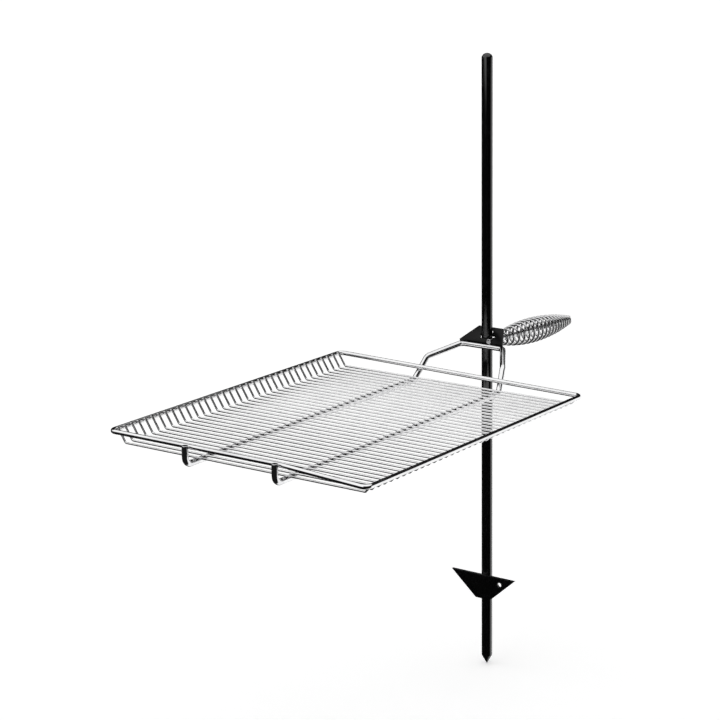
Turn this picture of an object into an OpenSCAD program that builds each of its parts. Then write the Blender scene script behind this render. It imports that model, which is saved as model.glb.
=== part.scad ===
// Campfire stake grill. A round stake stands in the ground. A carrier clamps on it: a tilted
// plate, a bent wire yoke that passes under the grid, and a handle with an open barrel coil.
// A loose wire grid with a raised rim lies on the yoke, between two hooks and two rising arms.
// The origin is on the stake's axis at the ground line. X runs along the grid's cross wires,
// +Y from the grid towards the stake and the handle, and +Z up the stake. Millimetres.

/* [Stake] */
// Diameter of the round stake
stake_d = 12.7; // [11:0.1:13]
// Length of the stake above the ground line
stake_above = 616.5; // [560:1:680]
// Length of the stake below the ground line
stake_below = 114.5; // [95:1:130]
// Length of the pointed tip
tip_len = 10.5; // [8:0.5:16]
// Diameter of the blunted point
tip_d = 1.2; // [0.8:0.1:2]
// Height of the domed top
dome_h = 4.5; // [2:0.5:5]

/* [Foot plate] */
// Width of the foot plate along its top edge
foot_top_w = 88; // [84:1:104]
// Width of the foot plate along its bottom edge
foot_bottom_w = 20; // [18:1:34]
// Height of the foot plate
foot_h = 30; // [26:1:36]
// Thickness of the foot plate
foot_t = 3; // [2.5:0.1:4]
// Diameter of the small hole in the foot plate
foot_hole_d = 5.5; // [4:0.5:6.5]
// Distance of that hole from the stake's axis
foot_hole_x = 23; // [18:0.5:26]
// Distance of that hole's centre below the top edge
foot_hole_drop = 8.5; // [7:0.5:11]

/* [Grid] */
// Height of the grid's cross wires above the ground line
grid_z = 248.5; // [220:1:290]
// Width of the grid between the side rims' centres
grid_w = 328; // [300:1:350]
// Depth of the grid between the front and back rims' centres
grid_l = 403; // [380:1:415]
// Distance from the stake's axis to the back rim's centre
grid_setback = 64.5; // [62:0.5:72]
// Diameter of a cross wire
wire_d = 2.3; // [2:0.1:2.8]
// Number of cross wires
wire_count = 37; // [31:1:39]
// Inset of the first and the last cross wire from the rim's centre
wire_inset = 8.5; // [8.5:0.5:11]
// How far a wire's left end leans outwards between the bend and the rim
left_lean = 8.5; // [3:0.5:10]
// Bend radius of the cross wires
wire_bend = 3; // [2:0.5:4]

/* [Rim] */
// Diameter of the rim wire
rim_d = 5.2; // [4.6:0.1:5.6]
// Height of the rim's centre above the cross wires
rim_h = 13; // [12:0.1:14.5]
// How much lower the rim lies at its right side
rim_drop = 5.5; // [0:0.5:6.5]
// Bend radius of the rim's corners
rim_bend = 7; // [5.5:0.5:7]
// Bend radius where the front rim starts to drop
drop_bend = 60; // [40:5:80]

/* [Yoke] */
// Diameter of the yoke wire
yoke_d = 6.8; // [6:0.1:7.2]
// Half the distance between the yoke's two supports
yoke_x = 57.5; // [50:0.5:64]
// How far in front of the back rim's centre the arms start to rise
arm_lead = 1; // [0:0.5:2]
// Half the distance between the arms' knees
knee_x = 51.5; // [48:0.5:56]
// Distance from the stake's axis to the arms' knee
knee_y = 47.5; // [44:0.5:50]
// Height of the arms' knee above the cross wires
knee_h = 20; // [17:0.5:23]
// Height of the crossbar above the cross wires
crossbar_h = 31.5; // [29:0.5:34]
// Half the length of the crossbar, corner to corner
crossbar_x = 28; // [27:0.1:33]
// Bend radius of the yoke
yoke_bend = 8; // [8:0.5:10]

/* [Bracket plate] */
// Thickness of the bracket plate
plate_t = 3; // [2.5:0.1:3.5]
// Tilt of the bracket plate, its back edge up
plate_tilt = 30; // [25:1:33]
// Width of the bracket plate at its front edge
plate_front_w = 58.7; // [54:0.1:64]
// Width of the bracket plate at its back edge
plate_back_w = 33.3; // [31:0.1:40]
// How far the front edge stands past the crossbar's line of touch
plate_lip = 0.6; // [0.3:0.1:1.5]
// Width of metal behind the stake's hole
plate_wall = 2.8; // [2.5:0.1:4]
// Play of the stake's hole to each side
hole_play = 0.6; // [0.4:0.1:1]

/* [Handle] */
// Diameter of the handle's core rod
core_d = 6; // [5:0.1:6.4]
// Slope of the core rod, its outer end down
core_slope = 3; // [1:0.5:4]
// Length of core rod in front of the crossbar's centre
core_front = 2.8; // [1:0.1:4]
// Length of core rod past the coil's outer end
core_end = 3; // [2:0.5:5]
// Diameter of the coil's wire
coil_d = 2.6; // [2.2:0.1:2.8]
// Number of curls in the coil
coil_turns = 19; // [17:1:19]
// Distance from the stake's axis to the coil's inner end
coil_start = 15; // [13:1:20]
// Distance between neighbouring curls at the inner end
pitch_first = 10; // [9.5:0.1:11]
// Distance between neighbouring curls at the outer end
pitch_last = 4; // [3.8:0.1:4.6]
// Radius to the wire's centre where the coil is widest
coil_r_wide = 13.7; // [12:0.1:14.5]
// Radius to the wire's centre at the inner end
coil_r_start = 7; // [6:0.1:8]
// Share of the coil's length at which it is widest
coil_wide_share = 0.43; // [0.38:0.01:0.5]

/* [Clearances] */
// Gap between the stake and what bears on it
stake_gap = 0.3; // [0.25:0.01:0.4]
// Gap between the loose grid and the yoke
grid_gap = 0.3; // [0.25:0.01:0.4]
// Gap between two welded wires
weld_gap = 0.05; // [0.03:0.01:0.08]
// Play round the core rod in the bracket plate's notch
notch_play = 0.3; // [0.2:0.05:0.5]

/* [Hidden] */

overrun = 1;
bend_swell = 0.03;
bend_lap = 0.2;
wire_fn = 24;
rod_fn = 48;

stake_r = stake_d / 2;
wire_r = wire_d / 2;
rim_r = rim_d / 2;
yoke_r = yoke_d / 2;
core_r = core_d / 2;
coil_r = coil_d / 2;

// Grid
rim_x = grid_w / 2;
back_y = -grid_setback;
front_y = back_y - grid_l;
rim_z = grid_z + rim_h;
right_h = rim_h - rim_drop;
first_wire_y = front_y + wire_inset;
wire_pitch = (grid_l - 2 * wire_inset) / (wire_count - 1);

// Yoke
support_z = grid_z - wire_r - grid_gap - yoke_r;
hook_y = front_y - rim_r - grid_gap - yoke_r;
crossbar_y = -(stake_r + stake_gap + yoke_r);
crossbar_z = grid_z + crossbar_h;

// Bracket plate, in its own plane: u runs up the slope from the line where it touches the crossbar
touch_r = yoke_r + weld_gap;
touch_y = crossbar_y - touch_r * sin(plate_tilt);
touch_z = crossbar_z + touch_r * cos(plate_tilt);
hole_front_u = (-stake_r - stake_gap - touch_y) / cos(plate_tilt);
hole_back_u = (stake_r + stake_gap - touch_y + plate_t * sin(plate_tilt)) / cos(plate_tilt);
hole_half_w = stake_r + hole_play;
plate_back_u = hole_back_u + plate_wall;

// Handle
core_x = stake_r + core_r + hole_play;
core_z = crossbar_z + yoke_r + weld_gap + core_r;
coil_len = curl_y(coil_turns);
coil_r_end = core_r + coil_r + weld_gap;
coil_rings = 8;
coil_sides = 6;
notch_end_u = (core_d + touch_r * (1 - cos(plate_tilt)) + notch_play) / sin(plate_tilt);

// Name of one cross wire
function wire_name(i) = str("cross_wire_", i < 10 ? "0" : "", i);

// Vector arithmetic
function unit(v) = v / norm(v);
function turn_angle(a, b, c) = acos(unit(b - a) * unit(c - b));
function setback(a, b, c, bend) = bend * tan(turn_angle(a, b, c) / 2);

// A straight length of wire from p to q
module straight(p, q, r) {
    v = q - p;
    translate(p)
        rotate([0, acos(v[2] / norm(v)), atan2(v[1], v[0])])
            cylinder(h = norm(v), r = r);
}

// A round bend at b, between the straights that come from a and leave to c: the wire swells a
// little where it is bent, so each straight ends just inside the bend
module bend_at(a, b, c, bend, r) {
    u = unit(b - a);
    w = unit(c - b);
    axis = unit(cross(u, w));
    side = cross(axis, u);
    centre = b - u * setback(a, b, c, bend) + side * bend;
    multmatrix([
        [-side[0], u[0], axis[0], centre[0]],
        [-side[1], u[1], axis[1], centre[1]],
        [-side[2], u[2], axis[2], centre[2]],
        [0, 0, 0, 1]
    ])
        rotate_extrude(angle = turn_angle(a, b, c))
            translate([bend, 0])
                circle(r = r + bend_swell);
}

// An open wire through the given points, with a bend radius for each inner point
module open_wire(pts, bends, r) {
    last = len(pts) - 1;
    back = [for (i = [0:last]) i == 0 || i == last ? 0 : setback(pts[i - 1], pts[i], pts[i + 1], bends[i - 1])];
    for (i = [0:last - 1]) {
        u = unit(pts[i + 1] - pts[i]);
        from = pts[i] + u * max(back[i] - bend_lap, 0);
        to = pts[i + 1] - u * max(back[i + 1] - bend_lap, 0);
        straight(from, to, r);
    }
    for (i = [1:last - 1]) bend_at(pts[i - 1], pts[i], pts[i + 1], bends[i - 1], r);
}

// A closed wire loop through the given points, with a bend radius for each
module closed_wire(pts, bends, r) {
    n = len(pts);
    back = [for (i = [0:n - 1]) setback(pts[(i + n - 1) % n], pts[i], pts[(i + 1) % n], bends[i])];
    for (i = [0:n - 1]) {
        j = (i + 1) % n;
        u = unit(pts[j] - pts[i]);
        straight(pts[i] + u * (back[i] - bend_lap), pts[j] - u * (back[j] - bend_lap), r);
        bend_at(pts[(i + n - 1) % n], pts[i], pts[j], bends[i], r);
    }
}

// Coil: place of a curl along the core, and its radius at a share of the coil's length
function curl_y(n) = pitch_first * n - (pitch_first - pitch_last) * n * n * n / (3 * coil_turns * coil_turns);
function barrel_r(s) = s < coil_wide_share
    ? coil_r_wide - (coil_r_wide - coil_r_start) * pow(1 - s / coil_wide_share, 2)
    : coil_r_wide - (coil_r_wide - coil_r_end) * pow((s - coil_wide_share) / (1 - coil_wide_share), 2);

// A point of the coil's centre line in the rod's own frame, n curls from the inner end
function coil_point(n) = let (y = curl_y(n), r = barrel_r(y / coil_len), a = 360 * n)
    [r * sin(a), y, r * cos(a)];

coil_line = concat(
    [coil_point(0) - [coil_d, 0, 0]],
    [for (k = [0:coil_turns * coil_rings]) coil_point(k / coil_rings)],
    [coil_point(coil_turns) + [coil_d, 0, 0]]
);

// Direction of the line at point k, and a ring of points round it
function line_dir(line, k) = unit(line[min(k + 1, len(line) - 1)] - line[max(k - 1, 0)]);
function ring(line, k, r, sides) =
    let (d = line_dir(line, k), side = unit(cross([0, 1, 0], d)), up = cross(d, side))
    [for (j = [0:sides - 1]) line[k] + r * (cos(360 * j / sides) * side + sin(360 * j / sides) * up)];

// Least gap of the coil to itself, between points at least half a curl apart
coil_gap = min([
    for (i = [0:len(coil_line) - 1])
        for (j = [i + coil_rings / 2:1:min(i + 2 * coil_rings, len(coil_line) - 1)])
            norm(coil_line[i] - coil_line[j])
]) - coil_d;

module stake() {
    dome_r = (stake_r * stake_r + dome_h * dome_h) / (2 * dome_h);
    dome_z = stake_above - dome_h;
    color("#141414") {
        translate([0, 0, -stake_below])
            cylinder(h = tip_len, r1 = tip_d / 2, r2 = stake_r, $fn = rod_fn);
        translate([0, 0, tip_len - stake_below])
            cylinder(h = dome_z + stake_below - tip_len, r = stake_r, $fn = rod_fn);
        intersection() {
            translate([0, 0, stake_above - dome_r])
                sphere(r = dome_r, $fn = rod_fn);
            translate([0, 0, dome_z])
                cylinder(h = dome_h + overrun, r = stake_r, $fn = rod_fn);
        }
    }
}

module foot_plate() {
    color("#141414")
        difference() {
            translate([0, -stake_r - weld_gap, 0])
                rotate([90, 0, 0])
                    linear_extrude(height = foot_t)
                        polygon([
                            [-foot_top_w / 2, 0],
                            [-foot_bottom_w / 2, -foot_h],
                            [foot_bottom_w / 2, -foot_h],
                            [foot_top_w / 2, 0]
                        ]);
            translate([foot_hole_x, -stake_r - weld_gap + overrun, -foot_hole_drop])
                rotate([90, 0, 0])
                    cylinder(h = foot_t + 2 * overrun, r = foot_hole_d / 2, $fn = rod_fn);
        }
}

module bracket_plate() {
    color("#141414")
        translate([0, touch_y, touch_z])
            rotate([plate_tilt, 0, 0])
                difference() {
                    linear_extrude(height = plate_t)
                        polygon([
                            [-plate_front_w / 2, -plate_lip],
                            [plate_front_w / 2, -plate_lip],
                            [plate_back_w / 2, plate_back_u],
                            [-plate_back_w / 2, plate_back_u]
                        ]);
                    stake_hole();
                    core_notch();
                }
}

// Oblong hole, square to the plate, that lets the plate cant on the stake
module stake_hole() {
    hole_r = hole_half_w;
    for (u = [hole_front_u + hole_r, hole_back_u - hole_r])
        translate([0, u, -overrun])
            cylinder(h = plate_t + 2 * overrun, r = hole_r, $fn = rod_fn);
    translate([-hole_half_w, hole_front_u + hole_r, -overrun])
        cube([2 * hole_half_w, hole_back_u - hole_front_u - 2 * hole_r, plate_t + 2 * overrun]);
}

// Notch in the front edge, where the core rod lies on the crossbar
module core_notch() {
    translate([core_x - core_r - notch_play, -plate_lip - overrun, -overrun])
        cube([core_d + 2 * notch_play, plate_lip + overrun + notch_end_u, plate_t + 2 * overrun]);
}

module yoke_wire() {
    half = [
        [yoke_x, hook_y, rim_z + rim_r],
        [yoke_x, hook_y, support_z],
        [yoke_x, back_y - arm_lead, support_z],
        [knee_x, -knee_y, grid_z + knee_h],
        [crossbar_x, crossbar_y, crossbar_z]
    ];
    pts = concat(half, [for (i = [len(half) - 1:-1:0]) [-half[i][0], half[i][1], half[i][2]]]);
    color("#c8c8c8")
        open_wire(pts, [for (p = [2:len(pts) - 1]) yoke_bend], yoke_r, $fn = rod_fn);
}

// Places what follows on the core rod's line, at the crossbar
module on_core() {
    translate([core_x, crossbar_y, core_z])
        rotate([-core_slope, 0, 0])
            children();
}

module handle_core() {
    rod_len = coil_start - crossbar_y + coil_len + core_end - core_r;
    color("#c8c8c8")
        on_core() {
            translate([0, -core_front, 0])
                rotate([-90, 0, 0])
                    cylinder(h = core_front + rod_len, r = core_r, $fn = rod_fn);
            translate([0, rod_len, 0])
                sphere(r = core_r, $fn = rod_fn);
        }
}

module handle_coil() {
    rings = len(coil_line);
    pts = [for (k = [0:rings - 1]) each ring(coil_line, k, coil_r, coil_sides)];
    walls = [
        for (k = [0:rings - 2])
            for (j = [0:coil_sides - 1])
                let (a = k * coil_sides + j, b = k * coil_sides + (j + 1) % coil_sides)
                each [[a, b, a + coil_sides], [b, b + coil_sides, a + coil_sides]]
    ];
    caps = [
        for (j = [1:coil_sides - 2])
            let (top = (rings - 1) * coil_sides)
            each [[0, j + 1, j], [top, top + j, top + j + 1]]
    ];
    color("#d8d8d8")
        on_core()
            translate([0, coil_start - crossbar_y, 0])
                polyhedron(points = pts, faces = concat(walls, caps), convexity = 10);
}

module rim_wire() {
    color("#d0d0d0")
        closed_wire(
            [
                [-rim_x, front_y, rim_z],
                [yoke_x, front_y, rim_z],
                [rim_x, front_y, grid_z + right_h],
                [rim_x, back_y, grid_z + right_h],
                [-rim_x, back_y, rim_z]
            ],
            [rim_bend, drop_bend, rim_bend, rim_bend, rim_bend],
            rim_r,
            $fn = rod_fn
        );
}

module cross_wire(i) {
    y = first_wire_y + (i - 1) * wire_pitch;
    touch = rim_r + wire_r + weld_gap;
    lean = atan(left_lean / rim_h);
    left_top_h = rim_h + rim_r;
    left_bend_x = -rim_x + touch / cos(lean) + left_lean;
    right_reach = (rim_r + weld_gap) * cos(45);
    color("#e0e0e0")
        open_wire(
            [
                [left_bend_x - left_top_h * tan(lean), y, grid_z + left_top_h],
                [left_bend_x, y, grid_z],
                [rim_x - right_h, y, grid_z],
                [rim_x - right_reach, y, grid_z + right_h - right_reach]
            ],
            [wire_bend, wire_bend],
            wire_r,
            $fn = wire_fn
        );
}

echo(coil_gap = coil_gap, coil_len = coil_len);

stake();
foot_plate();
bracket_plate();
yoke_wire();
handle_core();
handle_coil();
rim_wire();
for (i = [1:wire_count])
    cross_wire(i);
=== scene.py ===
import math
from functools import partial

import bmesh
import bpy
from bpy.props import FloatProperty, FloatVectorProperty, IntProperty, PointerProperty
from bpy.types import Operator, Panel, PropertyGroup
from mathutils import Matrix, Vector


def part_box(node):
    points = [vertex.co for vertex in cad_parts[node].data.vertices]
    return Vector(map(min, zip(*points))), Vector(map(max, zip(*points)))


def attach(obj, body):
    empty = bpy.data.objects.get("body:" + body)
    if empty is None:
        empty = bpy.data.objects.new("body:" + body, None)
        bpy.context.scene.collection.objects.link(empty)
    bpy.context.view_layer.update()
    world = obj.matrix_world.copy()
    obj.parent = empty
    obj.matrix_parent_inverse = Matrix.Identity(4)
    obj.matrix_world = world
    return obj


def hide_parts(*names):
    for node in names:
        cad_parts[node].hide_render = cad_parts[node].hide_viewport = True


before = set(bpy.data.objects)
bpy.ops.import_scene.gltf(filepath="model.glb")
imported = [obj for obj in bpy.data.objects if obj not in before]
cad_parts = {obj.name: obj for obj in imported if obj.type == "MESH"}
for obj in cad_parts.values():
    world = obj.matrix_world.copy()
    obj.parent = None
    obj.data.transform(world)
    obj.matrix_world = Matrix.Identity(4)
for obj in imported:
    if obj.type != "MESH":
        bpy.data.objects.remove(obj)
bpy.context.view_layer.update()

bl_info = {
    "name": "Campfire Stake Grill",
    "version": (1, 0, 0),
    "blender": (4, 5, 0),
    "location": "3D View > Sidebar > Grill",
    "description": "Finished wires, plates, welds and materials for a grill on a ground stake",
    "category": "Object",
}

PICTURE_SIDE = 720
MM = 0.001
UP = Vector((0, 0, 1))
WIRE_NODES = sorted(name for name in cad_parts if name.startswith("cross_wire_"))
HANDLE_PIECES = ("core_rod", "barrel_coil")
WIRE_SIDES = 16
DOME_STEPS = 10
# Radius of the small face that closes a dome, as a share of the dome's base
POLE_SHARE = 0.02
# Edges between faces that turn by less are flat, and by more get the worn round
FLAT_TURN = math.radians(1)
SHARP_TURN = math.radians(40)
ROUND_SEGMENTS = 3
DROP_SUBDIVISIONS = 2
# Ends of the two beads under the bracket plate, as shares of half the crossbar
BRACKET_BEAD_SHARES = ((-0.76, -0.3), (0.5, 0.76))


def length(name, description, millimetres):
    return FloatProperty(name=name, description=description, default=millimetres * MM,
                         precision=5, unit="LENGTH")


def turn(name, description, degrees):
    return FloatProperty(name=name, description=description, default=math.radians(degrees),
                         unit="ROTATION")


def share(name, description, value):
    return FloatProperty(name=name, description=description, default=value, min=0.0, max=1.0,
                         subtype="FACTOR")


def per_metre(name, description, value):
    return FloatProperty(name=name, description=description, default=value, min=0.0)


def colour(name, description, value):
    return FloatVectorProperty(name=name, description=description, default=value, size=3,
                               min=0.0, max=1.0, subtype="COLOR")


class GrillStakeSizes(PropertyGroup):
    tip_length: length("Tip length", "Length of the pointed tip", 10.5)
    tip_diameter: length("Tip diameter", "Diameter of the blunted point", 1.2)
    tip_round: length("Tip round", "Softening of the tip's edges across the stake", 0.3)
    tip_run: length("Tip run", "Softening of the tip's shoulder along the stake", 0.4)
    dome_height: length("Dome height", "Height of the domed top", 4.5)
    edge_round: length("Edge round", "Radius of the plates' worn edges", 0.35)
    bead_radius: length("Bead radius", "Radius of a weld bead", 1.3)
    bead_pitch: length("Bead pitch", "Distance between the ripples of a bead", 1.1)
    bead_inset: length("Bead inset", "Distance from the foot plate's edges to its beads", 1.95)
    bead_side: share("Bead side", "Place of the foot plate's beads across the stake", 0.58)


class GrillYokeSizes(PropertyGroup):
    diameter: length("Wire diameter", "Diameter of the yoke wire", 6.8)
    bend: length("Bend radius", "Bend radius of the yoke", 8)
    end_round: length("End round", "Rounding of the hooks' ends", 0.6)
    knee_x: length("Knee half", "Half the distance between the arms' knees", 51.5)
    knee_y: length("Knee distance", "Distance from the stake's axis to the arms' knee", 47.5)
    knee_height: length("Knee height", "Height of the arms' knee above the grid", 20)
    arm_lead: length("Arm lead", "How far in front of the back rim the arms start to rise", 1)
    crossbar_half: length("Crossbar half", "Half the length of the crossbar", 28)
    crossbar_height: length("Crossbar height", "Height of the crossbar above the grid", 31.5)
    stake_gap: length("Stake gap", "Gap between the stake and the crossbar", 0.3)
    plate_tilt: turn("Plate tilt", "Tilt of the bracket plate", 30)
    seam_sink: length("Seam sink", "How deep the bracket's beads sit in the crossbar", 0.4)
    seam_back: length("Seam back", "How far the bracket's beads lie up the plate", 2.2)


class GrillHandleSizes(PropertyGroup):
    core_diameter: length("Core diameter", "Diameter of the core rod", 6)
    core_slope: turn("Core slope", "Slope of the rod, its outer end down", 3)
    core_edge: length("Core edge", "Rounding of the core rod's front edge", 0.4)
    wire_diameter: length("Coil wire", "Diameter of the coil's wire", 2.6)
    curls: IntProperty(name="Curls", description="Number of curls", default=19, min=2)
    steps: IntProperty(name="Steps", description="Steps in each curl", default=40, min=8)
    start: length("Coil start", "Distance from the stake's axis to the coil", 15)
    pitch_first: length("First pitch", "Distance between the inner curls", 10)
    pitch_last: length("Last pitch", "Distance between the outer curls", 4)
    radius_wide: length("Wide radius", "Radius where the coil is widest", 13.7)
    radius_start: length("Start radius", "Radius at the inner end", 7)
    radius_end: length("End radius", "Radius at the outer end", 4.35)
    wide_share: share("Widest place", "Share of the length at which the coil is widest", 0.43)


class GrillGridSizes(PropertyGroup):
    wire_diameter: length("Wire diameter", "Diameter of a cross wire", 2.3)
    wire_bend: length("Wire bend", "Bend radius of the cross wires", 3)
    left_lean: length("Left lean", "How far the left ends lean outwards", 8.5)
    right_rise: turn("Right rise", "Angle at which the right ends rise", 45)
    rim_diameter: length("Rim diameter", "Diameter of the rim wire", 5.2)
    rim_bend: length("Corner radius", "Bend radius of the rim's corners", 7)
    drop_bend: length("Drop bend", "Bend radius where the front rim starts to drop", 60)
    weld_gap: length("Weld gap", "Gap between two welded wires", 0.05)
    weld_radius: length("Weld radius", "Radius of the weld at a cross wire's end", 1.15)


class GrillFinishes(PropertyGroup):
    chrome: colour("Chrome", "Colour of the bright plating", (0.93, 0.93, 0.935))
    chrome_dull: colour("Dull chrome", "Colour of its duller patches", (0.84, 0.84, 0.85))
    chrome_rough: share("Chrome roughness", "Roughness of the bright plating", 0.045)
    dull_rough: share("Dull roughness", "Roughness of its duller patches", 0.11)
    grain_rough: share("Grain roughness", "Roughness that the fine grain adds", 0.03)
    grain_scale: per_metre("Grain scale", "How many grains the plating has in a metre", 900)
    grain_height: length("Grain height", "Height of the plating's fine grain", 0.02)
    # Painted shade: the handle's chrome colours are scaled down to this share of the grid's
    handle_painted_shade: share("Handle shade", "Brightness of the handle beside the grid", 0.85)
    paint: colour("Black paint", "Colour of the black paint", (0.002, 0.002, 0.0022))
    paint_worn: colour("Worn paint", "Colour of its rubbed patches", (0.006, 0.006, 0.0065))
    rub_scale: per_metre("Rub scale", "How many rubbed patches the paint has in a metre", 45)
    peel_scale: per_metre("Peel scale", "How many dimples the paint has in a metre", 650)
    peel_height: length("Peel height", "Height of the paint's orange peel", 0.03)
    peel_strength: share("Peel strength", "Strength of the orange peel", 0.25)
    coat_rough: share("Coat roughness", "Roughness of the glossy paint's top coat", 0.06)
    floor: colour("Floor", "Colour of the floor", (0.93, 0.93, 0.93))


class GrillStage(PropertyGroup):
    focal: FloatProperty(name="Focal length", description="Focal length in picture widths",
                         default=2221.44 / PICTURE_SIDE)
    yaw: turn("Yaw", "Turn of the camera from the grid's depth", 36.084)
    pitch: turn("Pitch", "Tilt of the camera downwards", 14.09)
    roll: turn("Roll", "Roll of the camera", -0.8)
    aim_height: length("Aim height", "Height that the camera turns about", 245.5)
    distance: length("Distance", "Distance of the camera", 2584.5)
    slide_left: length("Slide left", "How far the camera stands to the left", 147.82)
    slide_up: length("Slide up", "How far the camera stands higher", 14.89)
    floor_side: length("Floor side", "Side of the floor", 60000)
    floor_glow: share("Floor glow", "Light that the floor adds for the camera alone", 0.42)
    card_drop: length("Card drop", "How far the white card lies under the rim", 105)
    card_setback: length("Card setback", "How far the card starts behind the front rim", 140)
    card_left: length("Card left", "How far the card reaches past the rim's left side", 45)
    card_right: length("Card right", "How far the card reaches past the rim's right side", 200)
    card_back: length("Card back", "How far the card reaches past the back rim", -60)
    sweep_heading: turn("Sweep heading", "Heading of the white sweep's middle", 66)
    sweep_half: turn("Sweep half", "Half the width of the sweep", 42)
    sweep_top: share("Sweep top", "Sine of the sweep's upper edge", 0.17)
    box_heading: turn("Box heading", "Heading of the front soft box", -126)
    box_half: turn("Box half", "Half the width of the front soft box", 52)
    box_bottom: share("Box bottom", "Sine of the front soft box's lower edge", 0.22)
    overhead_edge: share("Overhead edge", "Sine of the overhead soft box's edge", 0.68)
    room: share("Room", "Brightness of the dark room", 0.01)


# Centre lines and tubes

def rounded(points, bends, step=math.radians(7.5)):
    """A centre line through the points, with an arc of its own radius at each corner."""
    line = []
    count = len(points)
    for i, bend in enumerate(bends):
        corner = Vector(points[i])
        if not bend:
            line.append(corner)
            continue
        arrive = (corner - Vector(points[i - 1])).normalized()
        leave = (Vector(points[(i + 1) % count]) - corner).normalized()
        angle = arrive.angle(leave)
        axis = arrive.cross(leave).normalized()
        side = axis.cross(arrive)
        centre = corner - arrive * (bend * math.tan(angle / 2)) + side * bend
        steps = max(2, math.ceil(angle / step))
        line += [centre - Matrix.Rotation(angle * k / steps, 3, axis) @ side * bend
                 for k in range(steps + 1)]
    return line


def directions(line, closed):
    """The direction of the line at each of its points."""
    count = len(line)
    found = []
    for i in range(count):
        ahead = line[(i + 1) % count] if closed or i < count - 1 else line[i]
        behind = line[i - 1] if closed or i > 0 else line[i]
        found.append((ahead - behind).normalized())
    return found


def tube(name, line, radius, sides=32, closed=False, end_round=0.0, end_steps=4):
    """A mesh tube along the line. Open ends have a rounded edge and a flat face."""
    rings = [(p, d, radius) for p, d in zip(line, directions(line, closed))]
    if not closed:
        arcs = [math.radians(90) * k / end_steps for k in range(end_steps, 0, -1)]
        (first, d0, _), (last, d1, _) = rings[0], rings[-1]
        start = [(first + d0 * end_round * (1 - math.sin(a)), d0,
                  radius - end_round * (1 - math.cos(a))) for a in arcs]
        stop = [(last - d1 * end_round * (1 - math.sin(a)), d1,
                 radius - end_round * (1 - math.cos(a))) for a in reversed(arcs)]
        rings[0] = (first + d0 * end_round, d0, radius)
        rings[-1] = (last - d1 * end_round, d1, radius)
        rings = start + rings + stop
    side = rings[0][1].orthogonal().normalized() if not closed else rings[0][1].cross(UP)
    shape = bmesh.new()
    loops = []
    for place, direction, size in rings:
        side = direction.cross(UP) if closed else side - direction * side.dot(direction)
        side.normalize()
        other = direction.cross(side)
        loops.append([shape.verts.new(place + (side * math.cos(a) + other * math.sin(a)) * size)
                      for a in (math.tau * j / sides for j in range(sides))])
    skin(shape, loops, closed)
    return finished(name, shape)


def lathe(name, profile, sides=64):
    """A round mesh about the Z axis from (radius, height) points, closed at both ends."""
    shape = bmesh.new()
    loops = [[shape.verts.new((r * math.cos(math.tau * j / sides),
                               r * math.sin(math.tau * j / sides), z)) for j in range(sides)]
             for r, z in profile]
    skin(shape, loops)
    return finished(name, shape)


def skin(shape, loops, closed=False):
    """Faces from each loop to the next, and a flat face at each open end."""
    following = loops[1:] + loops[:1] if closed else loops[1:]
    for a, b in zip(loops, following):
        for j in range(len(a)):
            k = (j + 1) % len(a)
            shape.faces.new((a[j], a[k], b[k], b[j]))
    if not closed:
        shape.faces.new(list(reversed(loops[0])))
        shape.faces.new(loops[-1])


def finished(name, shape):
    """A smooth-shaded object of the mesh, with its faces pointing outwards."""
    bmesh.ops.recalc_face_normals(shape, faces=shape.faces)
    mesh = bpy.data.meshes.new(name)
    shape.to_mesh(mesh)
    shape.free()
    mesh.shade_smooth()
    return linked(name, mesh)


def linked(name, mesh):
    """An object of the mesh, in the scene."""
    piece = bpy.data.objects.new(name, mesh)
    bpy.context.scene.collection.objects.link(piece)
    return piece


def sheet(name, corners, z):
    """A flat object with four corners, at one height."""
    mesh = bpy.data.meshes.new(name)
    mesh.from_pydata([(x, y, z) for x, y in corners], [], [(0, 1, 2, 3)])
    return linked(name, mesh)


def settled(piece, body, slot, material, *nodes):
    """Gives the piece its finish and its body, and lets it stand for its frame nodes."""
    piece.data.materials.clear()
    piece.data.materials.append(material)
    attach(piece, body)
    if nodes:
        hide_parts(*nodes)


def baked(piece):
    """The piece with its modifiers turned into a plain mesh."""
    graph = bpy.context.evaluated_depsgraph_get()
    mesh = bpy.data.meshes.new_from_object(piece.evaluated_get(graph))
    name = piece.name
    if not mesh.polygons:
        raise RuntimeError(f"{name} came out with no faces")
    piece.modifiers.clear()
    bpy.data.objects.remove(piece)
    mesh.name = name
    return linked(name, mesh)


def worn_plate(node, name, edge_round):
    """A copy of a plate's frame mesh with rounded edges."""
    shape = bmesh.new()
    shape.from_mesh(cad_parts[node].data)
    bmesh.ops.remove_doubles(shape, verts=shape.verts, dist=0.001 * MM)
    bmesh.ops.dissolve_limit(shape, angle_limit=FLAT_TURN, verts=shape.verts,
                             edges=shape.edges)
    piece = finished(name, shape)
    bevel = piece.modifiers.new("Worn edges", "BEVEL")
    bevel.width = edge_round
    bevel.segments = ROUND_SEGMENTS
    bevel.limit_method = "ANGLE"
    bevel.angle_limit = SHARP_TURN
    bevel.harden_normals = True
    return baked(piece)


# Node trees

class Net:
    """Adds nodes to a tree and links or sets their inputs."""

    def __init__(self, tree):
        self.tree = tree
        tree.nodes.clear()

    def add(self, kind, inputs=None, **settings):
        node = self.tree.nodes.new(kind)
        for key, value in settings.items():
            setattr(node, key, value)
        for key, value in (inputs or {}).items():
            if isinstance(value, bpy.types.NodeSocket):
                self.tree.links.new(value, node.inputs[key])
            else:
                node.inputs[key].default_value = value
        return node

    def math(self, operation, a, b=0.0):
        return self.add("ShaderNodeMath", {0: a, 1: b}, operation=operation).outputs[0]


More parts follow.
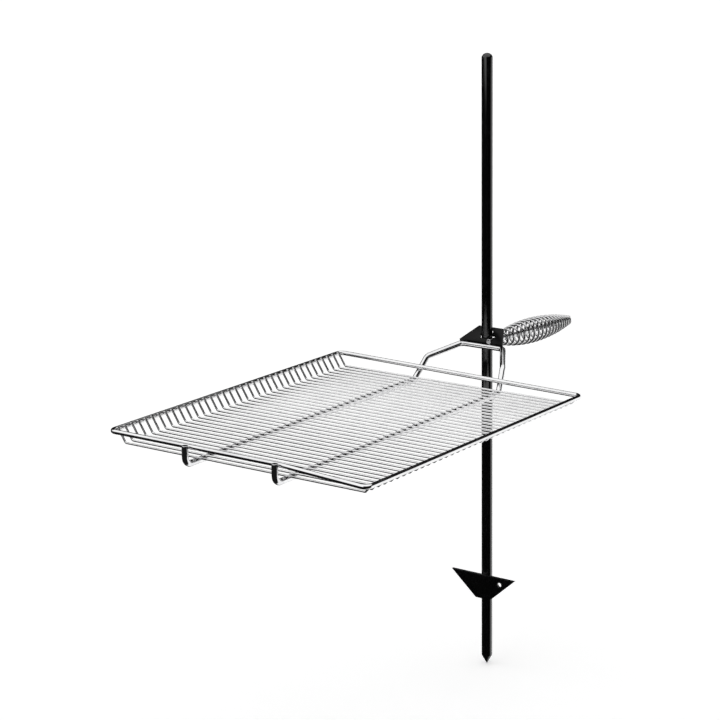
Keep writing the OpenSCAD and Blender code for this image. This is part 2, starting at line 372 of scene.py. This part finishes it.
class ShaderNet(Net):
    """A tree of a material or of the world."""

    def ramp(self, value, low, high, first=0.0, last=1.0):
        """A smooth step from first to last while value goes from low to high."""
        inputs = {"Value": value, "From Min": low, "From Max": high,
                  "To Min": first, "To Max": last}
        return self.add("ShaderNodeMapRange", inputs, interpolation_type="SMOOTHSTEP").outputs[0]

    def noise(self, vector, scale, detail=2.0, rough=0.5):
        inputs = {"Vector": vector, "Scale": scale, "Detail": detail, "Roughness": rough}
        return self.add("ShaderNodeTexNoise", inputs).outputs["Fac"]

    def mix(self, factor, a, b):
        """A blend of two colours, which are the node's sockets 6 and 7 in and 2 out."""
        return self.add("ShaderNodeMix", {0: factor, 6: a, 7: b}, data_type="RGBA").outputs[2]

    def finish(self, shader, kind="ShaderNodeOutputMaterial"):
        self.add(kind, {"Surface": shader})


class GeometryNet(Net):
    """A tree that makes a piece's mesh from named inputs."""

    def __init__(self, name):
        super().__init__(bpy.data.node_groups.new(name, "GeometryNodeTree"))
        self.tree.interface.new_socket("Geometry", in_out="INPUT",
                                       socket_type="NodeSocketGeometry")
        self.tree.interface.new_socket("Geometry", in_out="OUTPUT",
                                       socket_type="NodeSocketGeometry")
        self.values = {}

    def value(self, name, value):
        """A named input of the tree."""
        kinds = {float: "NodeSocketFloat", int: "NodeSocketInt", Vector: "NodeSocketVector",
                 bpy.types.Material: "NodeSocketMaterial"}
        kind = kinds[type(value)]
        socket = self.tree.interface.new_socket(name, in_out="INPUT", socket_type=kind)
        self.values[socket.identifier] = value
        return name

    def finish(self, geometry, material):
        geometry = self.add("GeometryNodeSetShadeSmooth", {"Geometry": geometry}).outputs[0]
        geometry = self.add("GeometryNodeRealizeInstances", {"Geometry": geometry}).outputs[0]
        geometry = self.add("GeometryNodeSetMaterial",
                            {"Geometry": geometry, "Material": material}).outputs[0]
        self.add("NodeGroupOutput", {"Geometry": geometry})

    def grown(self, name, mesh=None):
        """The mesh that the tree makes, as an object with no modifier."""
        piece = linked(name, mesh or bpy.data.meshes.new(name))
        modifier = piece.modifiers.new("Growth", "NODES")
        modifier.node_group = self.tree
        for identifier, value in self.values.items():
            modifier[identifier] = value
        return baked(piece)


# Materials

def new_material(name):
    """An empty material and the net of its tree."""
    material = bpy.data.materials.new(name)
    material.use_nodes = True
    return material, ShaderNet(material.node_tree)


def chrome(name, patch_scale, grain, shade=1.0):
    """Bright plating: a mirror with faint duller patches and a fine grain. A shade below 1 darkens
    its colours as painted shade.
    """
    finishes = bpy.context.scene.grill_finishes
    material, net = new_material(name)
    place = net.add("ShaderNodeTexCoord").outputs["Object"]
    patches = net.ramp(net.noise(place, patch_scale, detail=3.0, rough=0.6),
                       low=0.42, high=0.62)
    fine = net.noise(place, finishes.grain_scale)
    # Painted shade: shade scales both chrome colours down, making a darker copy of the same
    # plating
    bright = [shade * part for part in finishes.chrome] + [1]
    dull = [shade * part for part in finishes.chrome_dull] + [1]
    rough = net.ramp(patches, 0.0, 1.0, finishes.chrome_rough, finishes.dull_rough)
    grained = net.math("ADD", rough, net.math("MULTIPLY", fine, finishes.grain_rough))
    bump = net.add("ShaderNodeBump",
                   {"Strength": grain, "Distance": finishes.grain_height, "Height": fine})
    shader = net.add("ShaderNodeBsdfPrincipled",
                     {"Base Color": net.mix(patches, bright, dull), "Metallic": 1.0,
                      "Roughness": grained, "Normal": bump.outputs[0]})
    net.finish(shader.outputs[0])
    return material


def paint(name, rough_low, rough_high, gloss, coat):
    """Black paint: glossy or satin, with a fine orange peel and faint rubbed patches."""
    finishes = bpy.context.scene.grill_finishes
    material, net = new_material(name)
    place = net.add("ShaderNodeTexCoord").outputs["Object"]
    rubbed = net.ramp(net.noise(place, finishes.rub_scale, detail=4.0, rough=0.65),
                      low=0.5, high=0.75)
    tone = net.mix(rubbed, (*finishes.paint, 1), (*finishes.paint_worn, 1))
    rough = net.ramp(rubbed, 0.0, 1.0, rough_low, rough_high)
    bump = net.add("ShaderNodeBump",
                   {"Strength": finishes.peel_strength, "Distance": finishes.peel_height,
                    "Height": net.noise(place, finishes.peel_scale)})
    shader = net.add("ShaderNodeBsdfPrincipled",
                     {"Base Color": tone, "Roughness": rough, "Specular IOR Level": gloss,
                      "Coat Weight": coat, "Coat Roughness": finishes.coat_rough,
                      "Normal": bump.outputs[0]})
    net.finish(shader.outputs[0])
    return material


def material_of(slot):
    """The finish of a material slot, made once."""
    name = slot + "_finish"
    made = bpy.data.materials.get(name)
    if made:
        return made
    handle_painted_shade = bpy.context.scene.grill_finishes.handle_painted_shade
    recipes = {
        "black_paint": partial(paint, rough_low=0.12, rough_high=0.2, gloss=0.5, coat=0.7),
        "black_plate": partial(paint, rough_low=0.25, rough_high=0.38, gloss=0.1, coat=0.0),
        "chrome_yoke": partial(chrome, patch_scale=60.0, grain=0.2),
        # The handle's chrome is the grid's plating with painted shade
        "chrome_handle": partial(chrome, patch_scale=90.0, grain=0.15, shade=handle_painted_shade),
        "chrome_grid": partial(chrome, patch_scale=40.0, grain=0.15),
    }
    return recipes[slot](name)


# Places that the frame gives

def grid_places(grid):
    """The grid's heights and edges, from the rim's and the cross wires' boxes."""
    rim_low, rim_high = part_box("rim_wire")
    first_low, first_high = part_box(WIRE_NODES[0])
    last_low, last_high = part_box(WIRE_NODES[-1])
    rim_r = grid.rim_diameter / 2
    return {
        "rim_x": rim_high.x - rim_r,
        "front_y": rim_low.y + rim_r,
        "back_y": rim_high.y - rim_r,
        "rim_z": rim_high.z - rim_r,
        "drop": rim_high.z - rim_low.z - grid.rim_diameter,
        "grid_z": first_low.z + grid.wire_diameter / 2,
        "first_y": (first_low.y + first_high.y) / 2,
        "last_y": (last_low.y + last_high.y) / 2,
    }


def yoke_points(yoke, grid):
    """The yoke's corners on the right side, from the hook to the crossbar."""
    at = grid_places(grid)
    low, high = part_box("yoke_wire")
    radius = yoke.diameter / 2
    x = high.x - radius
    support_z = low.z + radius
    hook_y = low.y + radius
    return [
        Vector((x, hook_y, at["rim_z"] + grid.rim_diameter / 2)),
        Vector((x, hook_y, support_z)),
        Vector((x, at["back_y"] - yoke.arm_lead, support_z)),
        Vector((yoke.knee_x, -yoke.knee_y, at["grid_z"] + yoke.knee_height)),
        Vector((yoke.crossbar_half, crossbar_y(yoke), at["grid_z"] + yoke.crossbar_height)),
    ]


def stake_radius():
    """Radius of the stake, from its box."""
    low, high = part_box("stake")
    return (high.x - low.x) / 2


def crossbar_y(yoke):
    """Place of the crossbar's line in front of the stake."""
    return -(stake_radius() + yoke.stake_gap + yoke.diameter / 2)


def rippled(start, end, pitch):
    """A row for welds(): from start to end, with a ripple at each pitch."""
    return start, end, max(2, round((end - start).length / pitch) + 1)


def welds(name, rows, radius, body, slot):
    """Weld beads: drops of metal in rows, each row a start, an end and a count."""
    net = GeometryNet(name)
    for i, (start, end, count) in enumerate(rows, 1):
        net.value(f"Start {i}", start)
        net.value(f"Step {i}", (end - start) / (count - 1))
        net.value(f"Drops {i}", count)
    net.value("Radius", radius)
    net.value("Material", material_of(slot))
    given = net.add("NodeGroupInput").outputs
    drop = net.add("GeometryNodeMeshIcoSphere",
                   {"Radius": given["Radius"], "Subdivisions": DROP_SUBDIVISIONS}).outputs[0]
    joined = net.add("GeometryNodeJoinGeometry")
    for i in range(1, len(rows) + 1):
        row = net.add("GeometryNodeMeshLine",
                      {"Count": given[f"Drops {i}"], "Start Location": given[f"Start {i}"],
                       "Offset": given[f"Step {i}"]}).outputs[0]
        drops = net.add("GeometryNodeInstanceOnPoints", {"Points": row, "Instance": drop})
        net.tree.links.new(drops.outputs[0], joined.inputs[0])
    net.finish(joined.outputs[0], given["Material"])
    settled(net.grown(name), body, slot, material_of(slot))


# Operators

class GRILL_OT_stake(Operator):
    """Makes the pointed stake with its domed top"""
    bl_idname = "grill.stake"
    bl_label = "Stake"
    bl_options = {"REGISTER", "UNDO"}

    def execute(self, context):
        scene = context.scene
        sizes = scene.grill_stake
        low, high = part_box("stake")
        radius = stake_radius()
        dome = sizes.dome_height
        dome_r = (radius ** 2 + dome ** 2) / (2 * dome)
        reach = math.asin(radius / dome_r)
        tip_r = sizes.tip_diameter / 2
        shoulder_z = low.z + sizes.tip_length
        profile = [(tip_r / 2, low.z), (tip_r, low.z + sizes.tip_round),
                   (radius - sizes.tip_round, shoulder_z - sizes.tip_run),
                   (radius, shoulder_z + sizes.tip_run)]
        angles = [reach * (1 - k / DOME_STEPS) for k in range(DOME_STEPS)]
        profile += [(dome_r * math.sin(a), high.z - dome_r * (1 - math.cos(a))) for a in angles]
        profile.append((radius * POLE_SHARE, high.z))
        piece = lathe("stake_bar", profile)
        settled(piece, "stake", "black_paint", material_of("black_paint"), "stake")
        return {"FINISHED"}


class GRILL_OT_foot_plate(Operator):
    """Makes the foot plate and the beads that weld it to the stake"""
    bl_idname = "grill.foot_plate"
    bl_label = "Foot plate"
    bl_options = {"REGISTER", "UNDO"}

    def execute(self, context):
        scene = context.scene
        sizes = scene.grill_stake
        piece = worn_plate("foot_plate", "foot_plate_worn", sizes.edge_round)
        settled(piece, "stake", "black_paint", material_of("black_paint"), "foot_plate")
        low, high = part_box("foot_plate")
        side = sizes.bead_side * stake_radius()
        y = high.y + sizes.bead_radius / 2
        bottom, top = low.z + sizes.bead_inset, high.z - sizes.bead_inset
        rows = [rippled(Vector((x, y, bottom)), Vector((x, y, top)), sizes.bead_pitch)
                for x in (-side, side)]
        welds("foot_welds", rows, sizes.bead_radius, "stake", "black_paint")
        return {"FINISHED"}


class GRILL_OT_bracket(Operator):
    """Makes the tilted bracket plate and the beads that weld it to the crossbar"""
    bl_idname = "grill.bracket"
    bl_label = "Bracket plate"
    bl_options = {"REGISTER", "UNDO"}

    def execute(self, context):
        scene = context.scene
        sizes, yoke, grid = scene.grill_stake, scene.grill_yoke, scene.grill_grid
        piece = worn_plate("bracket_plate", "bracket_plate_worn", sizes.edge_round)
        settled(piece, "carrier", "black_plate", material_of("black_plate"), "bracket_plate")
        bar = yoke_points(yoke, grid)[-1]
        tilt = yoke.plate_tilt
        away = Vector((0, -math.sin(tilt), math.cos(tilt)))
        along = Vector((0, math.cos(tilt), math.sin(tilt)))
        seam = bar + away * (yoke.diameter / 2 - yoke.seam_sink) + along * yoke.seam_back
        rows = [rippled(Vector((a * bar.x, seam.y, seam.z)), Vector((b * bar.x, seam.y, seam.z)),
                        sizes.bead_pitch) for a, b in BRACKET_BEAD_SHARES]
        welds("bracket_welds", rows, sizes.bead_radius, "carrier", "black_plate")
        return {"FINISHED"}


class GRILL_OT_yoke(Operator):
    """Makes the bent yoke wire: hooks, supports, arms and crossbar"""
    bl_idname = "grill.yoke"
    bl_label = "Yoke wire"
    bl_options = {"REGISTER", "UNDO"}

    def execute(self, context):
        scene = context.scene
        yoke, grid = scene.grill_yoke, scene.grill_grid
        right = yoke_points(yoke, grid)
        points = right + [Vector((-p.x, p.y, p.z)) for p in reversed(right)]
        bends = [0] + [yoke.bend] * (len(points) - 2) + [0]
        piece = tube("yoke", rounded(points, bends), yoke.diameter / 2,
                     end_round=yoke.end_round)
        settled(piece, "carrier", "chrome_yoke", material_of("chrome_yoke"), "yoke_wire")
        return {"FINISHED"}


def on_core(scene):
    """Place of the core rod's line over the crossbar, and its turn."""
    yoke, handle = scene.grill_yoke, scene.grill_handle
    low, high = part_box("handle_core")
    x = (low.x + high.x) / 2
    bar = yoke_points(yoke, scene.grill_grid)[-1]
    z = bar.z + yoke.diameter / 2 + scene.grill_grid.weld_gap + handle.core_diameter / 2
    return Vector((x, bar.y, z)), -handle.core_slope


class GRILL_OT_core(Operator):
    """Makes the straight core rod with its rounded outer end"""
    bl_idname = "grill.core"
    bl_label = "Core rod"
    bl_options = {"REGISTER", "UNDO"}

    def execute(self, context):
        scene = context.scene
        handle = scene.grill_handle
        radius, edge = handle.core_diameter / 2, handle.core_edge
        low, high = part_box("handle_core")
        place, slope = on_core(scene)
        forward = Vector((0, math.cos(slope), math.sin(slope)))
        ahead = (place.y - low.y + radius * math.sin(slope)) / math.cos(slope)
        reach = (high.y - radius - place.y) / math.cos(slope)
        quarter = [math.radians(90) * k / DOME_STEPS for k in range(DOME_STEPS)]
        profile = [(radius - edge * (1 - math.sin(a)), edge * (1 - math.cos(a)))
                   for a in quarter]
        profile += [(radius * math.cos(a), ahead + reach + radius * math.sin(a))
                    for a in quarter]
        profile.append((radius * POLE_SHARE, ahead + reach + radius))
        piece = lathe("core_rod", profile)
        tilt = UP.rotation_difference(forward).to_matrix().to_4x4()
        piece.data.transform(Matrix.Translation(place - forward * ahead) @ tilt)
        settled(piece, "carrier", "chrome_handle", material_of("chrome_handle"), "handle_core")
        return {"FINISHED"}


class GRILL_OT_coil(Operator):
    """Makes the open barrel coil round the core rod"""
    bl_idname = "grill.coil"
    bl_label = "Handle coil"
    bl_options = {"REGISTER", "UNDO"}

    def execute(self, context):
        scene = context.scene
        handle = scene.grill_handle
        place, slope = on_core(scene)
        forward = Vector((0, math.cos(slope), math.sin(slope)))
        curls = handle.curls
        run = handle.pitch_first - (handle.pitch_first - handle.pitch_last) / 3
        net = GeometryNet("Barrel coil")
        net.value("Curls", curls)
        net.value("Steps per curl", handle.steps)
        net.value("First pitch", handle.pitch_first)
        net.value("Last pitch", handle.pitch_last)
        net.value("Coil length", run * curls)
        net.value("Wide radius", handle.radius_wide)
        net.value("Start radius", handle.radius_start)
        net.value("End radius", handle.radius_end)
        net.value("Widest place", handle.wide_share)
        net.value("Wire radius", handle.wire_diameter / 2)
        net.value("Place", place + forward * (handle.start - place.y))
        net.value("Turn", Vector((slope, 0, 0)))
        net.value("Material", material_of("chrome_handle"))
        given = net.add("NodeGroupInput").outputs
        plus, minus = partial(net.math, "ADD"), partial(net.math, "SUBTRACT")
        times, over = partial(net.math, "MULTIPLY"), partial(net.math, "DIVIDE")
        most, least = partial(net.math, "MAXIMUM"), partial(net.math, "MINIMUM")
        power = partial(net.math, "POWER")
        # The point's place in the coil, counted in curls, with a straight stub at each end
        last = times(given["Curls"], given["Steps per curl"])
        count = plus(last, 3.0)
        index = net.add("GeometryNodeInputIndex").outputs[0]
        curl = over(most(least(minus(index, 1.0), last), 0.0), given["Steps per curl"])
        first = net.math("LESS_THAN", index, 0.5)
        final = net.math("GREATER_THAN", index, plus(last, 1.5))
        stub = times(minus(final, first), times(given["Wire radius"], 2.0))
        # Its distance along the coil: the pitch shrinks with the square of the curls
        slack = minus(given["First pitch"], given["Last pitch"])
        thirds = times(times(given["Curls"], given["Curls"]), 3.0)
        shrunk = over(times(slack, power(curl, 3.0)), thirds)
        along = minus(times(curl, given["First pitch"]), shrunk)
        # Its radius: a parabola on each side of the widest place
        part, widest = over(along, given["Coil length"]), given["Widest place"]
        before = most(minus(1.0, over(part, widest)), 0.0)
        after = most(over(minus(part, widest), minus(1.0, widest)), 0.0)
        wide = given["Wide radius"]
        narrow = times(minus(wide, given["Start radius"]), power(before, 2.0))
        taper = times(minus(wide, given["End radius"]), power(after, 2.0))
        radius = minus(minus(wide, narrow), taper)
        angle = times(curl, math.tau)
        x = plus(times(radius, net.math("SINE", angle)), stub)
        z = times(radius, net.math("COSINE", angle))
        spot = net.add("ShaderNodeCombineXYZ", {"X": x, "Y": along, "Z": z}).outputs[0]
        row = net.add("GeometryNodeMeshLine", {"Count": count}).outputs[0]
        line = net.add("GeometryNodeSetPosition", {"Geometry": row, "Position": spot}).outputs[0]
        curve = net.add("GeometryNodeMeshToCurve", {"Mesh": line}).outputs[0]
        ring = net.add("GeometryNodeCurvePrimitiveCircle",
                       {"Resolution": WIRE_SIDES, "Radius": given["Wire radius"]}).outputs[0]
        wire = net.add("GeometryNodeCurveToMesh",
                       {"Curve": curve, "Profile Curve": ring, "Fill Caps": True}).outputs[0]
        moved = net.add("GeometryNodeTransform",
                        {"Geometry": wire, "Translation": given["Place"],
                         "Rotation": given["Turn"]}).outputs[0]
        net.finish(moved, given["Material"])
        piece = net.grown("barrel_coil")
        settled(piece, "carrier", "chrome_handle", material_of("chrome_handle"), "handle_coil")
        return {"FINISHED"}


class GRILL_OT_rim(Operator):
    """Makes the rim wire, which lies lower at its right side"""
    bl_idname = "grill.rim"
    bl_label = "Rim wire"
    bl_options = {"REGISTER", "UNDO"}

    def execute(self, context):
        scene = context.scene
        grid, yoke = scene.grill_grid, scene.grill_yoke
        at = grid_places(grid)
        right_z = at["rim_z"] - at["drop"]
        points = [
            (-at["rim_x"], at["front_y"], at["rim_z"]),
            (yoke_points(yoke, grid)[0].x, at["front_y"], at["rim_z"]),
            (at["rim_x"], at["front_y"], right_z),
            (at["rim_x"], at["back_y"], right_z),
            (-at["rim_x"], at["back_y"], at["rim_z"]),
        ]
        bends = [grid.rim_bend, grid.drop_bend] + [grid.rim_bend] * 3
        piece = tube("rim", rounded(points, bends), grid.rim_diameter / 2, closed=True)
        settled(piece, "tray", "chrome_grid", material_of("chrome_grid"), "rim_wire")
        return {"FINISHED"}


def wire_line(grid, at):
    """Centre line of one cross wire, its left end first."""
    wire_r, rim_r = grid.wire_diameter / 2, grid.rim_diameter / 2
    rim_h = at["rim_z"] - at["grid_z"]
    right_h = rim_h - at["drop"]
    touch = rim_r + wire_r + grid.weld_gap
    lean = math.atan(grid.left_lean / rim_h)
    top_h = rim_h + rim_r
    left_x = -at["rim_x"] + touch / math.cos(lean) + grid.left_lean
    rise = grid.right_rise
    reach = rim_r + grid.weld_gap
    points = [
        (left_x - top_h * math.tan(lean), 0, top_h),
        (left_x, 0, 0),
        (at["rim_x"] - right_h / math.tan(rise), 0, 0),
        (at["rim_x"] - reach * math.cos(rise), 0, right_h - reach * math.sin(rise)),
    ]
    return rounded(points, [0, grid.wire_bend, grid.wire_bend, 0], step=math.radians(6))


class GRILL_OT_cross_wires(Operator):
    """Makes the grid's cross wires from one bent wire"""
    bl_idname = "grill.cross_wires"
    bl_label = "Cross wires"
    bl_options = {"REGISTER", "UNDO"}

    def execute(self, context):
        scene = context.scene
        grid = scene.grill_grid
        at = grid_places(grid)
        line = wire_line(grid, at)
        mesh = bpy.data.meshes.new("bent_wire")
        mesh.from_pydata(line, [(i, i + 1) for i in range(len(line) - 1)], [])
        net = GeometryNet("Cross wires")
        net.value("Wires", len(WIRE_NODES))
        net.value("First place", Vector((0, at["first_y"], at["grid_z"])))
        net.value("Step", Vector((0, (at["last_y"] - at["first_y"]) / (len(WIRE_NODES) - 1), 0)))
        net.value("Wire radius", grid.wire_diameter / 2)
        net.value("Material", material_of("chrome_grid"))
        given = net.add("NodeGroupInput").outputs
        curve = net.add("GeometryNodeMeshToCurve", {"Mesh": given["Geometry"]}).outputs[0]
        row = net.add("GeometryNodeMeshLine",
                      {"Count": given["Wires"], "Start Location": given["First place"],
                       "Offset": given["Step"]}).outputs[0]
        copies = net.add("GeometryNodeInstanceOnPoints",
                         {"Points": row, "Instance": curve}).outputs[0]
        ring = net.add("GeometryNodeCurvePrimitiveCircle",
                       {"Resolution": WIRE_SIDES, "Radius": given["Wire radius"]}).outputs[0]
        tubes = net.add("GeometryNodeCurveToMesh",
                        {"Curve": copies, "Profile Curve": ring, "Fill Caps": True}).outputs[0]
        net.finish(tubes, given["Material"])
        piece = net.grown("cross_wires", mesh)
        settled(piece, "tray", "chrome_grid", material_of("chrome_grid"), *WIRE_NODES)
        return {"FINISHED"}


class GRILL_OT_wire_welds(Operator):
    """Makes the small welds that hold each cross wire's ends to the rim"""
    bl_idname = "grill.wire_welds"
    bl_label = "Wire welds"
    bl_options = {"REGISTER", "UNDO"}

    def execute(self, context):
        scene = context.scene
        grid = scene.grill_grid
        at = grid_places(grid)
        rim_h = at["rim_z"] - at["grid_z"]
        lean = math.atan(grid.left_lean / rim_h)
        out = grid.rim_diameter / 2 + grid.weld_gap / 2
        rise = grid.right_rise
        left = Vector((-at["rim_x"] + out * math.cos(lean), 0, at["rim_z"] + out * math.sin(lean)))
        right = Vector((at["rim_x"] - out * math.cos(rise), 0,
                        at["rim_z"] - at["drop"] - out * math.sin(rise)))
        first, last = Vector((0, at["first_y"], 0)), Vector((0, at["last_y"], 0))
        rows = [(end + first, end + last, len(WIRE_NODES)) for end in (left, right)]
        welds("wire_welds", rows, grid.weld_radius, "tray", "chrome_grid")
        return {"FINISHED"}


class GRILL_OT_stage(Operator):
    """Makes the floor, the studio light and the camera"""
    bl_idname = "grill.stage"
    bl_label = "Stage"
    bl_options = {"REGISTER", "UNDO"}

    def execute(self, context):
        scene = context.scene
        stage_floor(scene)
        mirror_card(scene)
        studio_light(scene)
        stage_camera(scene)
        scene.view_settings.view_transform = "Standard"
        return {"FINISHED"}


def stage_floor(scene):
    """A plain pale floor under the stake's tip, which metal doesn't mirror."""
    stage = scene.grill_stage
    half = stage.floor_side / 2
    corners = [(-half, -half), (half, -half), (half, half), (-half, half)]
    floor = sheet("floor", corners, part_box("stake")[0].z)
    floor.visible_glossy = False
    material, net = new_material("floor")
    camera_ray = net.add("ShaderNodeLightPath").outputs["Is Camera Ray"]
    matt = net.add("ShaderNodeBsdfDiffuse", {"Color": (*scene.grill_finishes.floor, 1)})
    glow = net.add("ShaderNodeEmission",
                   {"Strength": net.math("MULTIPLY", camera_ray, stage.floor_glow)})
    both = net.add("ShaderNodeAddShader", {0: matt.outputs[0], 1: glow.outputs[0]})
    net.finish(both.outputs[0])
    floor.data.materials.append(material)


def mirror_card(scene):
    """A white card under the grid that only shows as a reflection in the grid and yoke."""
    stage = scene.grill_stage
    low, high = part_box("rim_wire")
    front, back = low.y + stage.card_setback, high.y + stage.card_back
    left, right = low.x - stage.card_left, high.x + stage.card_right
    corners = [(left, front), (right, front), (right, back), (left, back)]
    card = sheet("mirror_card", corners, low.z - stage.card_drop)
    card.visible_camera = False
    card.visible_diffuse = False
    card.visible_transmission = False
    card.visible_shadow = False
    unlit = bpy.data.collections.new("unlit_by_card")
    for name in HANDLE_PIECES:
        unlit.objects.link(bpy.data.objects[name])
    for member in unlit.collection_objects:
        member.light_linking.link_state = "EXCLUDE"
    card.light_linking.receiver_collection = unlit
    material, net = new_material("mirror_card")
    net.finish(net.add("ShaderNodeEmission", {"Strength": 1.0}).outputs[0])
    card.data.materials.append(material)


def studio_light(scene):
    """A white sweep behind, a soft box above and one in front, in a dark room."""
    stage = scene.grill_stage
    world = bpy.data.worlds.new("studio")
    world.use_nodes = True
    scene.world = world
    net = ShaderNet(world.node_tree)
    path = net.add("ShaderNodeLightPath").outputs
    view = net.add("ShaderNodeTexCoord").outputs["Generated"]
    flat = net.add("ShaderNodeVectorMath", {0: view, 1: (1, 1, 0)}, operation="MULTIPLY")
    level = net.add("ShaderNodeVectorMath", {0: flat.outputs[0]}, operation="NORMALIZE")
    height = net.add("ShaderNodeSeparateXYZ", {0: view}).outputs["Z"]

    def towards(heading, half_width, soft=0.06):
        """1 where the direction is within half_width of the heading, from +X to +Y."""
        dot = net.add("ShaderNodeVectorMath",
                      {0: level.outputs[0], 1: (math.cos(heading), math.sin(heading), 0)},
                      operation="DOT_PRODUCT").outputs["Value"]
        edge = math.cos(half_width)
        return net.ramp(dot, edge - soft, edge + soft)

    def below(edge, soft=0.03):
        """1 where the direction is lower than the edge."""
        return net.ramp(height, edge - soft, edge + soft, 1.0, 0.0)

    def above(edge, soft=0.04):
        """1 where the direction is higher than the edge."""
        return net.ramp(height, edge - soft, edge + soft)

    sweep = net.math("MULTIPLY", towards(stage.sweep_heading, stage.sweep_half),
                     below(stage.sweep_top))
    soft_box = net.math("MULTIPLY", towards(stage.box_heading, stage.box_half),
                        above(stage.box_bottom))
    behind = net.math("MAXIMUM", sweep, above(stage.overhead_edge))
    mirrored = net.ramp(net.math("MAXIMUM", behind, soft_box), 0.0, 1.0, stage.room, 1.0)
    seen = net.math("MAXIMUM", path["Is Camera Ray"], mirrored)
    net.finish(net.add("ShaderNodeBackground", {"Color": seen}).outputs[0],
               "ShaderNodeOutputWorld")


def stage_camera(scene):
    """The camera at the photograph's viewing angle."""
    stage = scene.grill_stage
    forward = Vector((-math.sin(stage.yaw), math.cos(stage.yaw), 0))
    right = Vector((math.cos(stage.yaw), math.sin(stage.yaw), 0))
    ahead = forward * math.cos(stage.pitch) - UP * math.sin(stage.pitch)
    top = forward * math.sin(stage.pitch) + UP * math.cos(stage.pitch)
    side = right * math.cos(stage.roll) + top * math.sin(stage.roll)
    top = top * math.cos(stage.roll) - right * math.sin(stage.roll)
    data = bpy.data.cameras.new("camera")
    data.lens = stage.focal * data.sensor_width
    data.clip_end = 2 * stage.floor_side
    camera = bpy.data.objects.new("camera", data)
    scene.collection.objects.link(camera)
    place = UP * stage.aim_height - ahead * stage.distance
    place += top * stage.slide_up - side * stage.slide_left
    axes = Matrix((side, top, -ahead)).transposed().to_4x4()
    camera.matrix_world = Matrix.Translation(place) @ axes
    scene.camera = camera


class GRILL_PT_sidebar(Panel):
    """Lists the grill's parts and their sizes"""
    bl_idname = "GRILL_PT_sidebar"
    bl_label = "Stake grill"
    bl_space_type = "VIEW_3D"
    bl_region_type = "UI"
    bl_category = "Grill"

    def draw(self, context):
        for operator in OPERATORS:
            self.layout.operator(operator.bl_idname)
        for attribute in GROUPS:
            group = getattr(context.scene, attribute)
            box = self.layout.box()
            for name in group.__annotations__:
                box.prop(group, name)


GROUPS = {
    "grill_stake": GrillStakeSizes,
    "grill_yoke": GrillYokeSizes,
    "grill_handle": GrillHandleSizes,
    "grill_grid": GrillGridSizes,
    "grill_finishes": GrillFinishes,
    "grill_stage": GrillStage,
}
OPERATORS = (
    GRILL_OT_stake,
    GRILL_OT_foot_plate,
    GRILL_OT_bracket,
    GRILL_OT_yoke,
    GRILL_OT_core,
    GRILL_OT_coil,
    GRILL_OT_rim,
    GRILL_OT_cross_wires,
    GRILL_OT_wire_welds,
    GRILL_OT_stage,
)


def register():
    for group in GROUPS.values():
        bpy.utils.register_class(group)
    for operator in OPERATORS:
        bpy.utils.register_class(operator)
    bpy.utils.register_class(GRILL_PT_sidebar)
    for attribute, group in GROUPS.items():
        setattr(bpy.types.Scene, attribute, PointerProperty(type=group))


def unregister():
    for attribute in GROUPS:
        delattr(bpy.types.Scene, attribute)
    bpy.utils.unregister_class(GRILL_PT_sidebar)
    for operator in reversed(OPERATORS):
        bpy.utils.unregister_class(operator)
    for group in reversed(list(GROUPS.values())):
        bpy.utils.unregister_class(group)


def main():
    register()
    for operator in OPERATORS:
        family, name = operator.bl_idname.split(".")
        getattr(getattr(bpy.ops, family), name)()


if __name__ == "__main__":
    main()
